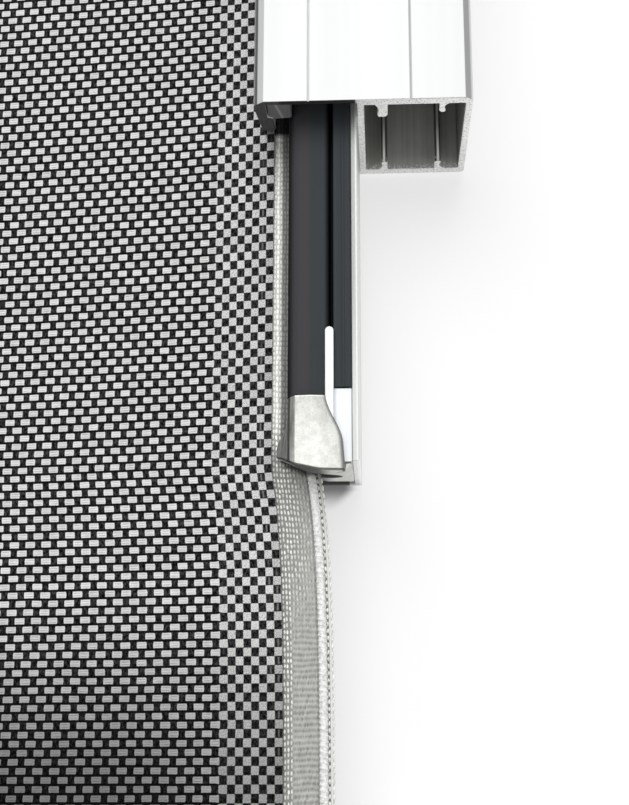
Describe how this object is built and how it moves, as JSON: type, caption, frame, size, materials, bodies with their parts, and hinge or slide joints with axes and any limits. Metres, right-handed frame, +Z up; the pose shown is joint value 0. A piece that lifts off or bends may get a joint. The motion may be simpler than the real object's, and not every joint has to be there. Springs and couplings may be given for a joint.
{
  "type": "zip-guided outdoor roller blind",
  "caption": "Compact outdoor zip roller blind: screen fabric with welded zip edges runs in white side channels through inlet funnels, wound by a worm crank gear.",
  "frame": {"origin": "on the wall plane behind the middle of the left channel's chamber, half-way up the channel", "axes": "+Z up along the channels, +X towards the right channel seen from outside, -Y away from the wall towards the viewer outside"},
  "size_m": [0.6022, 0.0664, 0.707],
  "materials": {
    "powder_coat": "smooth white powder coat, cut ends bare",
    "carrier_aluminium": "satin extruded aluminium",
    "anthracite_pvc": "smooth extruded PVC, faint sheen",
    "satin_nickel": "satin nickel over a die casting with a fine grain",
    "woven_screen": "coated plain weave, light grey and charcoal",
    "zip_tape": "woven polyester tape",
    "zip_coil": "polyester monofilament",
    "grey_seal": "soft grey lip seal",
    "white_plastic": "moulded, fine texture",
    "grey_plastic": "moulded glass-filled plastic",
    "black_rubber": "matt",
    "zinc_steel": "zinc-plated steel",
    "gear_brass": "machined"
  },
  "bodies": {
    "frame": {"bracket_left": "powder_coat", "bracket_right": "powder_coat", "bracket_screw_left_lower": "zinc_steel", "bracket_screw_left_upper": "zinc_steel", "bracket_screw_right_lower": "zinc_steel", "bracket_screw_right_upper": "zinc_steel", "carrier_rail_left": "carrier_aluminium", "carrier_rail_right": "carrier_aluminium", "cover_plug_left_lower": "white_plastic", "cover_plug_left_upper": "white_plastic", "cover_plug_right_lower": "white_plastic", "cover_plug_right_upper": "white_plastic", "foot_cap_left": "white_plastic", "foot_cap_right": "white_plastic", "front_seal_left": "grey_seal", "front_seal_right": "grey_seal", "gear_cover": "grey_plastic", "gear_housing": "grey_plastic", "gear_screw_1": "zinc_steel", "gear_screw_2": "zinc_steel", "gear_screw_3": "zinc_steel", "gear_screw_4": "zinc_steel", "idler_spring": "zinc_steel", "inlet_funnel_left": "satin_nickel", "inlet_funnel_right": "satin_nickel", "screen_fabric": "woven_screen", "side_channel_left": "powder_coat", "side_channel_right": "powder_coat", "wall_screw_left_lower": "zinc_steel", "wall_screw_left_upper": "zinc_steel", "wall_screw_right_lower": "zinc_steel", "wall_screw_right_upper": "zinc_steel", "zip_coil_left": "zip_coil", "zip_coil_right": "zip_coil", "zip_guide_left": "anthracite_pvc", "zip_guide_right": "anthracite_pvc", "zip_tape_left": "zip_tape", "zip_tape_right": "zip_tape"},
    "roller": {"roller_tube": "carrier_aluminium", "roller_keder": "zip_coil", "fabric_roll": "woven_screen", "zip_roll_left": "zip_coil", "zip_roll_right": "zip_coil", "idler_plug": "grey_plastic", "idler_bearing": "zinc_steel", "drive_adaptor": "grey_plastic", "worm_wheel": "gear_brass"},
    "crank": {"worm": "zinc_steel", "crank_eye": "zinc_steel"},
    "idler_pin": {"idler_pin": "zinc_steel"},
    "bottom_bar": {"bottom_bar": "powder_coat", "bar_cap_left": "white_plastic", "bar_cap_right": "white_plastic", "bar_weight": "zinc_steel", "bar_keder": "zip_coil", "bar_seal": "black_rubber"}
  },
  "joints": [
    {"name": "roller_spin", "type": "hinge", "parent": "frame", "child": "roller", "pos_m": [0.2895, -0.0407, 0.4172], "axis": [1, 0, 0], "range_deg": [0, 1155]},
    {"name": "bar_travel", "type": "slide", "parent": "frame", "child": "bottom_bar", "axis": [0, 0, 1], "range_m": [0, 0.466], "deforming": ["screen_fabric", "zip_tape_left", "zip_tape_right", "zip_coil_left", "zip_coil_right"]},
    {"name": "crank_spin", "type": "hinge", "parent": "frame", "child": "crank", "pos_m": [0.5772, -0.0569, 0.4172], "axis": [0, 0, 1], "range_deg": [0, 8086]},
    {"name": "idler_pin_slide", "type": "slide", "parent": "frame", "child": "idler_pin", "axis": [1, 0, 0], "range_m": [0, 0.008], "stiffness_N_per_m": 350, "springref_m": -0.01, "deforming": ["idler_spring"]}
  ],
  "couplings": [
    {"joint": "bar_travel", "follows": "roller_spin", "m_per_rad": 0.0231},
    {"joint": "crank_spin", "follows": "roller_spin", "ratio": 7}
  ]
}
